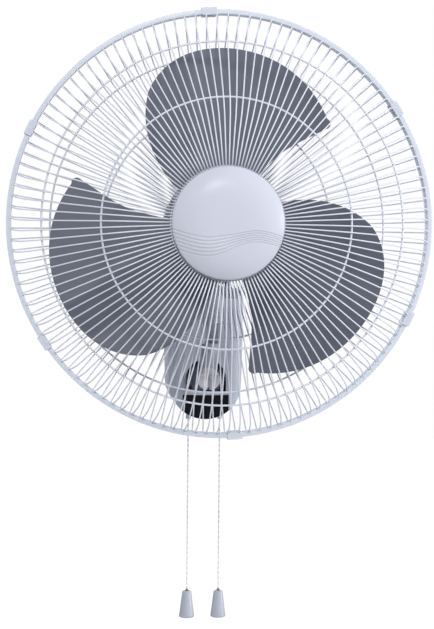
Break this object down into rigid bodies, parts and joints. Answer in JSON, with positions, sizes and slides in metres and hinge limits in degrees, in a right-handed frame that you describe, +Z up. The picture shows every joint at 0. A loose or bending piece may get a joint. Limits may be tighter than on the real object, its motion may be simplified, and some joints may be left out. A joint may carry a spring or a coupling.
{
  "type": "wall mounted fan",
  "caption": "Wall mounted fan with a round wire guard, a tilting and swinging neck, a wall base and two pull cords with bell ends.",
  "frame": {"origin": "middle of the four wall screws, on the wall's surface", "axes": "+Y points into the wall, +Z is up and +X is to the right as seen from the room; the fan stands out along -Y"},
  "size_m": [0.4435, 0.3194, 0.6773],
  "materials": {
    "lavender_plastic": "gloss moulded, light lavender grey",
    "hoop_plastic": "gloss moulded, near white",
    "smoke_plastic": "smoky grey, slightly see-through",
    "black_plastic": "gloss black",
    "switch_plastic": "satin moulded",
    "capacitor_plastic": "plain moulded",
    "bell_plastic": "gloss moulded, light grey",
    "white_wire": "powder coated wire and sheet",
    "painted_casting": "enamelled casting",
    "cast_aluminium": "as cast",
    "zinc_steel": "zinc plated",
    "shaft_steel": "ground",
    "stator_steel": "stacked laminations",
    "copper_winding": "varnished winding wire",
    "bearing_bronze": "sintered",
    "cord_fibre": "braided fibre"
  },
  "bodies": {
    "base": {"wall_plate": "zinc_steel", "base_housing": "lavender_plastic", "base_back": "lavender_plastic", "back_screws": "zinc_steel", "lower_trim": "black_plastic", "cord_bushes": "black_plastic", "mains_gland": "black_plastic", "tilt_bracket": "zinc_steel", "tilt_bolt": "zinc_steel", "tilt_nut": "zinc_steel", "speed_switch": "switch_plastic", "swing_switch": "switch_plastic", "capacitor": "capacitor_plastic", "terminal_block": "capacitor_plastic"},
    "neck": {"neck_arm": "painted_casting", "neck_bush": "bearing_bronze", "link_pin": "zinc_steel"},
    "link": {"swing_link": "zinc_steel"},
    "head": {"swing_bracket": "zinc_steel", "spindle_clip": "zinc_steel", "swing_motor": "zinc_steel", "motor_front_shell": "painted_casting", "motor_rear_shell": "cast_aluminium", "motor_cover": "lavender_plastic", "stator_core": "stator_steel", "stator_coils": "copper_winding", "front_bearing": "bearing_bronze", "rear_bearing": "bearing_bronze", "rear_guard_plate": "white_wire", "guard_nut": "switch_plastic", "rear_guard_wires": "white_wire", "rear_guard_rings": "white_wire", "guard_hoop": "hoop_plastic", "guard_clips": "hoop_plastic", "front_guard_wires": "white_wire", "front_guard_rings": "white_wire", "front_guard_plate": "white_wire", "front_cap": "lavender_plastic"},
    "crank": {"swing_crank": "black_plastic"},
    "rotor": {"motor_shaft": "shaft_steel", "rotor_core": "stator_steel", "fan_blade": "smoke_plastic", "blade_nut": "switch_plastic"},
    "speed_pull": {"speed_lever": "black_plastic", "speed_cord": "cord_fibre", "speed_bell": "bell_plastic"},
    "swing_pull": {"swing_lever": "black_plastic", "swing_cord": "cord_fibre", "swing_bell": "bell_plastic"}
  },
  "joints": [
    {"name": "tilt", "type": "hinge", "parent": "base", "child": "neck", "pos_m": [0, -0.066, -0.044], "axis": [1, 0, 0], "range_deg": [-10, 20]},
    {"name": "swing", "type": "hinge", "parent": "neck", "child": "head", "pos_m": [0, -0.135, 0.045], "axis": [0, 0, 1], "range_deg": [-40, 40]},
    {"name": "link_turn", "type": "hinge", "parent": "neck", "child": "link", "pos_m": [0.018, -0.135, 0.06835], "axis": [0, 0, 1], "range_deg": [-37, 37]},
    {"name": "crank_turn", "type": "hinge", "parent": "head", "child": "crank", "pos_m": [0, -0.09, 0.075], "axis": [0, 0, 1], "continuous": true},
    {"name": "spin", "type": "hinge", "parent": "head", "child": "rotor", "pos_m": [0, -0.18, 0.13], "axis": [0, 1, 0], "continuous": true},
    {"name": "speed_pull", "type": "slide", "parent": "base", "child": "speed_pull", "axis": [0, 0, -1], "range_m": [0, 0.008], "stiffness_N_per_m": 800},
    {"name": "swing_pull", "type": "slide", "parent": "base", "child": "swing_pull", "axis": [0, 0, -1], "range_m": [0, 0.008], "stiffness_N_per_m": 800}
  ],
  "couplings": [
    {"joint": "link_turn", "follows": "swing", "ratio": 0.9}
  ]
}
